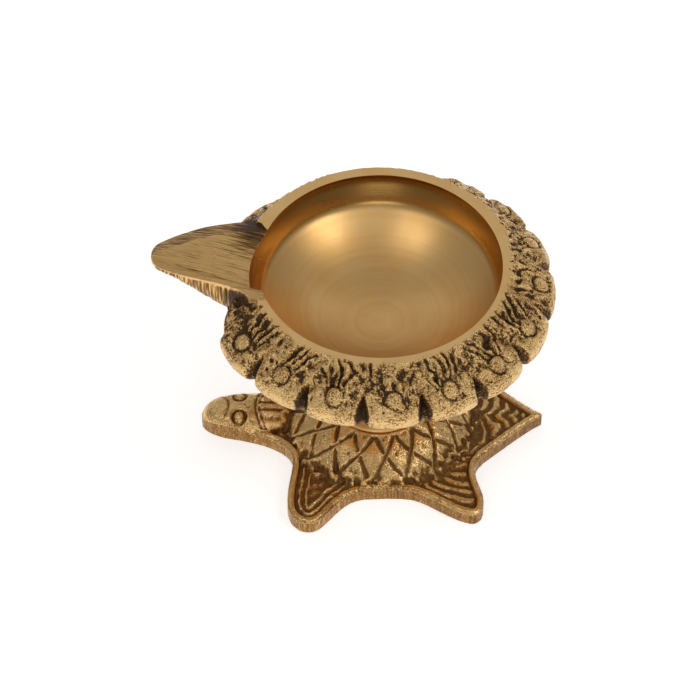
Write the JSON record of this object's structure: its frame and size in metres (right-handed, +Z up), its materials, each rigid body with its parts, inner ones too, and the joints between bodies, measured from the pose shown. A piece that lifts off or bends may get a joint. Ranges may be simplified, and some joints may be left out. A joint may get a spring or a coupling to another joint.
{
  "type": "diya oil lamp",
  "caption": "Brass oil lamp: a scalloped bowl with a wick spout on a turned stem, standing on a cast tortoise base.",
  "frame": {"origin": "under the middle of the lamp's bounding box, on the surface it stands on", "axes": "+X towards the tail and away from the spout, +Z up"},
  "size_m": [0.1067, 0.0917, 0.067],
  "materials": {
    "bowl_brass": "sand-cast brass with dark patina in the relief, turned bright inside",
    "stem_brass": "turned, satin",
    "tortoise_brass": "sand-cast brass with dark patina in the grooves",
    "fastener_brass": "turned and threaded, unpolished"
  },
  "bodies": {
    "base": {"tortoise": "tortoise_brass"},
    "lamp": {"bowl": "bowl_brass", "stem": "stem_brass", "stud": "fastener_brass", "washer": "fastener_brass", "nut": "fastener_brass"}
  },
  "joints": [
    {"name": "bowl_swivel", "type": "hinge", "parent": "base", "child": "lamp", "pos_m": [0.007, 0, 0.013], "axis": [0, 0, 1], "continuous": true}
  ]
}
